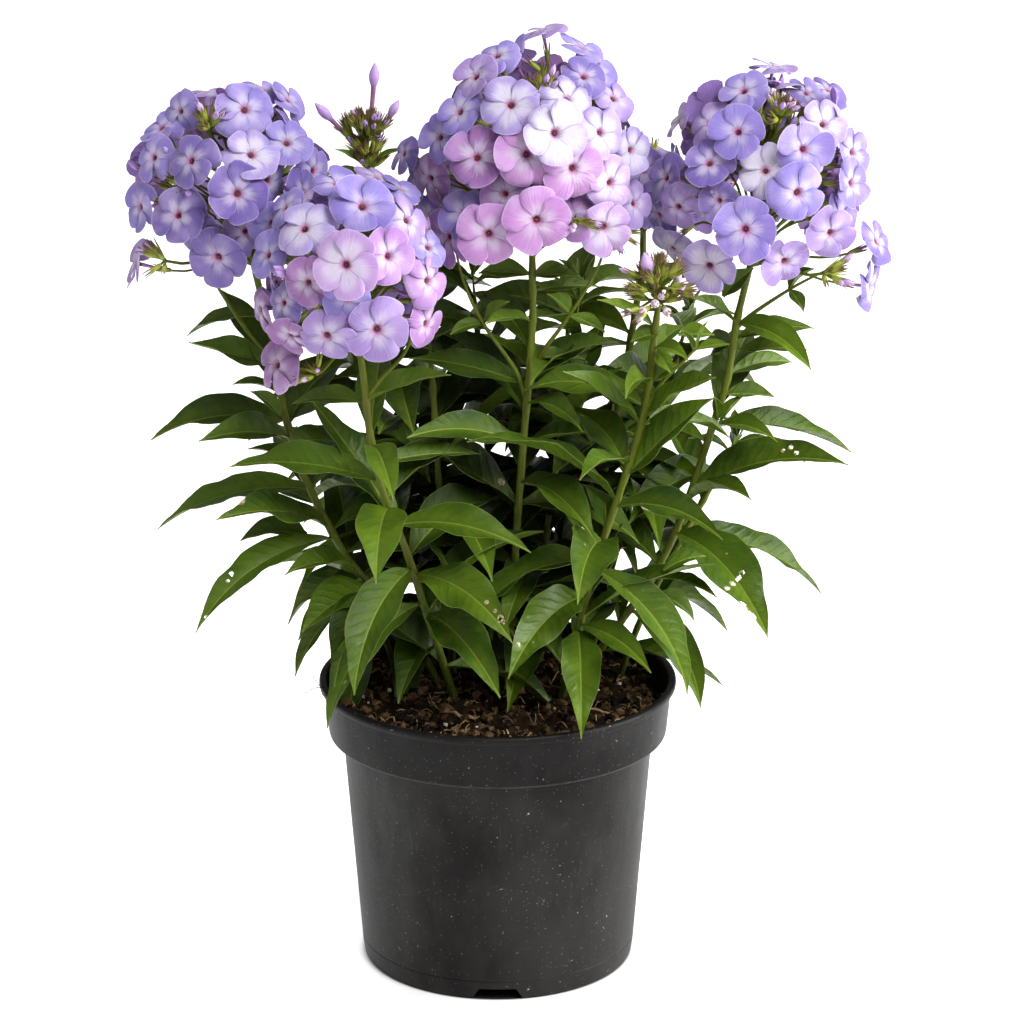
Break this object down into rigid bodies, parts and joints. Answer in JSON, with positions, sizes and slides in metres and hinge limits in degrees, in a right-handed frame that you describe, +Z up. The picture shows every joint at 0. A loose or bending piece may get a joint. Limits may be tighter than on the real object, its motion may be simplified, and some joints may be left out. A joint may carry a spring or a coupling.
{
  "type": "phlox plant",
  "caption": "Flowering border phlox with domed lavender flower heads, lance-shaped leaves and upright stems, growing in a round black nursery pot.",
  "frame": {"origin": "middle of the pot's foot, on the surface that the pot stands on", "axes": "+Z up along the pot's axis, -Y towards the plant's front, +X to the right seen from the front"},
  "size_m": [0.4076, 0.2394, 0.5064],
  "materials": {
    "pot_plastic": "black moulded plastic, satin, with fine scratches and dust",
    "compost": "dark crumbly peat compost with tan fibres and white perlite",
    "stem_green": "smooth yellow-green stem",
    "leaf_green": "satin mid-green leaf with a pale midrib and feathered veins",
    "petal": "soft lavender petals with a pale star and a crimson eye",
    "bud": "purple buds in dark green calyces"
  },
  "bodies": {
    "root": {"pot": "pot_plastic", "compost": "compost", "stem_back_right": "stem_green", "stem_bud_left": "stem_green", "stem_bud_right": "stem_green", "stem_center": "stem_green", "stem_front_left": "stem_green", "stem_left": "stem_green", "stem_right": "stem_green", "flower_head_back_right": "petal", "flower_head_center": "petal", "flower_head_front_left": "petal", "flower_head_left": "petal", "flower_head_right": "petal", "bud_cluster_left": "bud", "bud_cluster_right": "bud", "leaf_back_right_01": "leaf_green", "leaf_back_right_02": "leaf_green", "leaf_back_right_03": "leaf_green", "leaf_bud_left_01": "leaf_green", "leaf_bud_left_02": "leaf_green", "leaf_bud_left_03": "leaf_green", "leaf_bud_right_01": "leaf_green", "leaf_bud_right_02": "leaf_green", "leaf_bud_right_03": "leaf_green", "leaf_bud_right_04": "leaf_green", "leaf_bud_right_05": "leaf_green", "leaf_bud_right_06": "leaf_green", "leaf_bud_right_07": "leaf_green", "leaf_bud_right_08": "leaf_green", "leaf_center_01": "leaf_green", "leaf_center_02": "leaf_green", "leaf_center_03": "leaf_green", "leaf_center_04": "leaf_green", "leaf_center_05": "leaf_green", "leaf_front_left_01": "leaf_green", "leaf_front_left_02": "leaf_green", "leaf_front_left_03": "leaf_green", "leaf_front_left_04": "leaf_green", "leaf_front_left_05": "leaf_green", "leaf_front_left_06": "leaf_green", "leaf_front_left_07": "leaf_green", "leaf_front_left_08": "leaf_green", "leaf_left_01": "leaf_green", "leaf_left_02": "leaf_green", "leaf_left_03": "leaf_green", "leaf_left_04": "leaf_green", "leaf_left_05": "leaf_green", "leaf_left_06": "leaf_green", "leaf_left_07": "leaf_green", "leaf_left_08": "leaf_green", "leaf_left_09": "leaf_green", "leaf_right_01": "leaf_green", "leaf_right_02": "leaf_green", "leaf_right_03": "leaf_green", "leaf_right_04": "leaf_green", "leaf_right_05": "leaf_green", "leaf_right_06": "leaf_green", "leaf_right_07": "leaf_green"}
  },
  "joints": []
}
